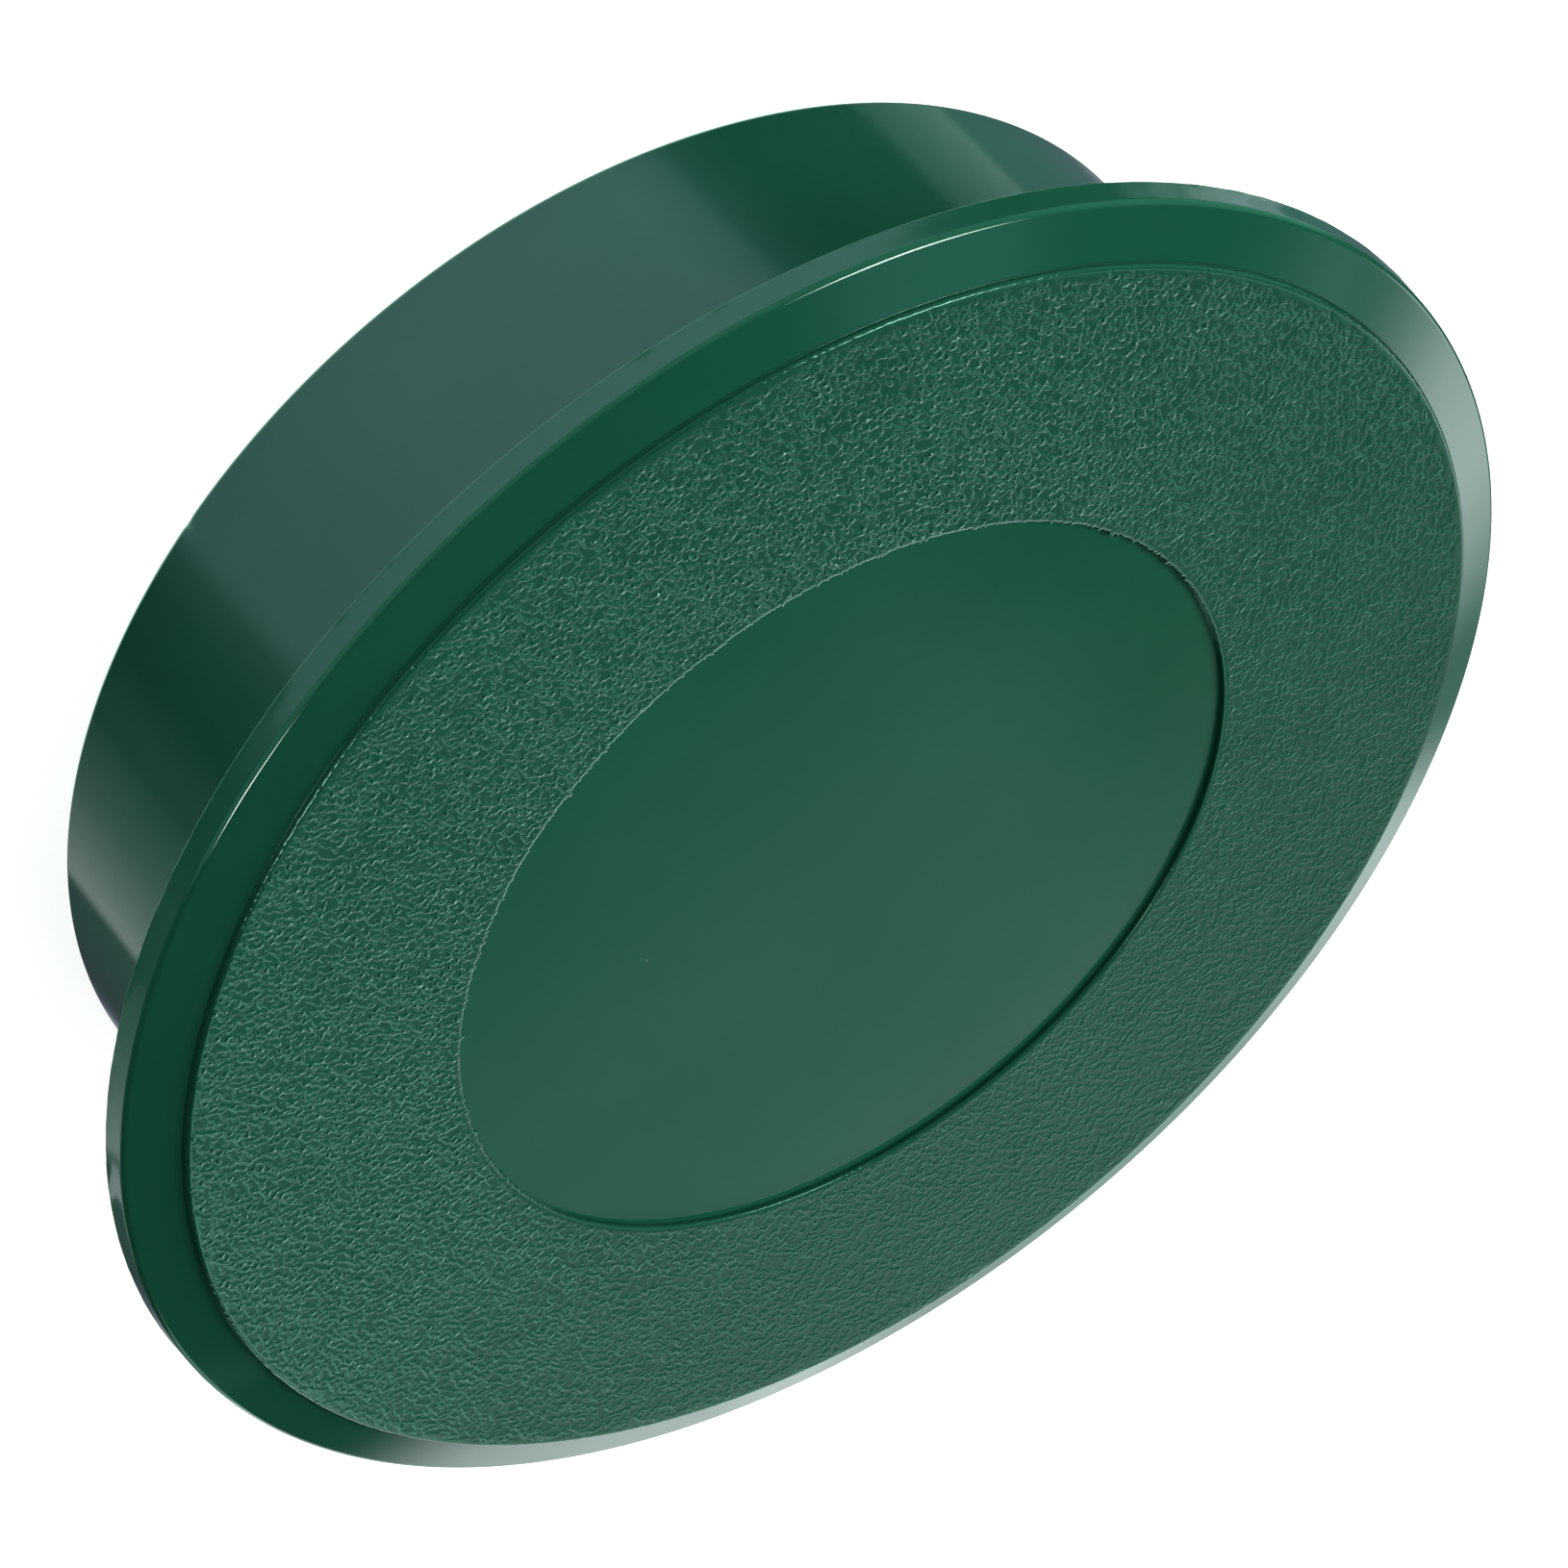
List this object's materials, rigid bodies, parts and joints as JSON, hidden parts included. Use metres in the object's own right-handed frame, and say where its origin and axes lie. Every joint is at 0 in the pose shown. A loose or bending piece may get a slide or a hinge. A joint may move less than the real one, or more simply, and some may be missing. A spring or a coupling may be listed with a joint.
{
  "type": "golf hole cover",
  "caption": "Flanged round plastic cover for a golf hole cup, with a bevelled edge, a raised textured ring around a blank centre, and a hollow plug skirt underneath.",
  "frame": {"origin": "centre of the plug skirt's lower rim, on the cover's axis", "axes": "+Z along the cover's axis, out of its textured face; the cover is round, so +X and +Y are any two radii at right angles"},
  "size_m": [0.125, 0.125, 0.0311],
  "materials": {
    "glossy_green": "gloss",
    "textured_green": "satin"
  },
  "bodies": {
    "root": {"cover_plate": "glossy_green", "grip_ring": "textured_green", "plug_skirt": "glossy_green"}
  },
  "joints": []
}
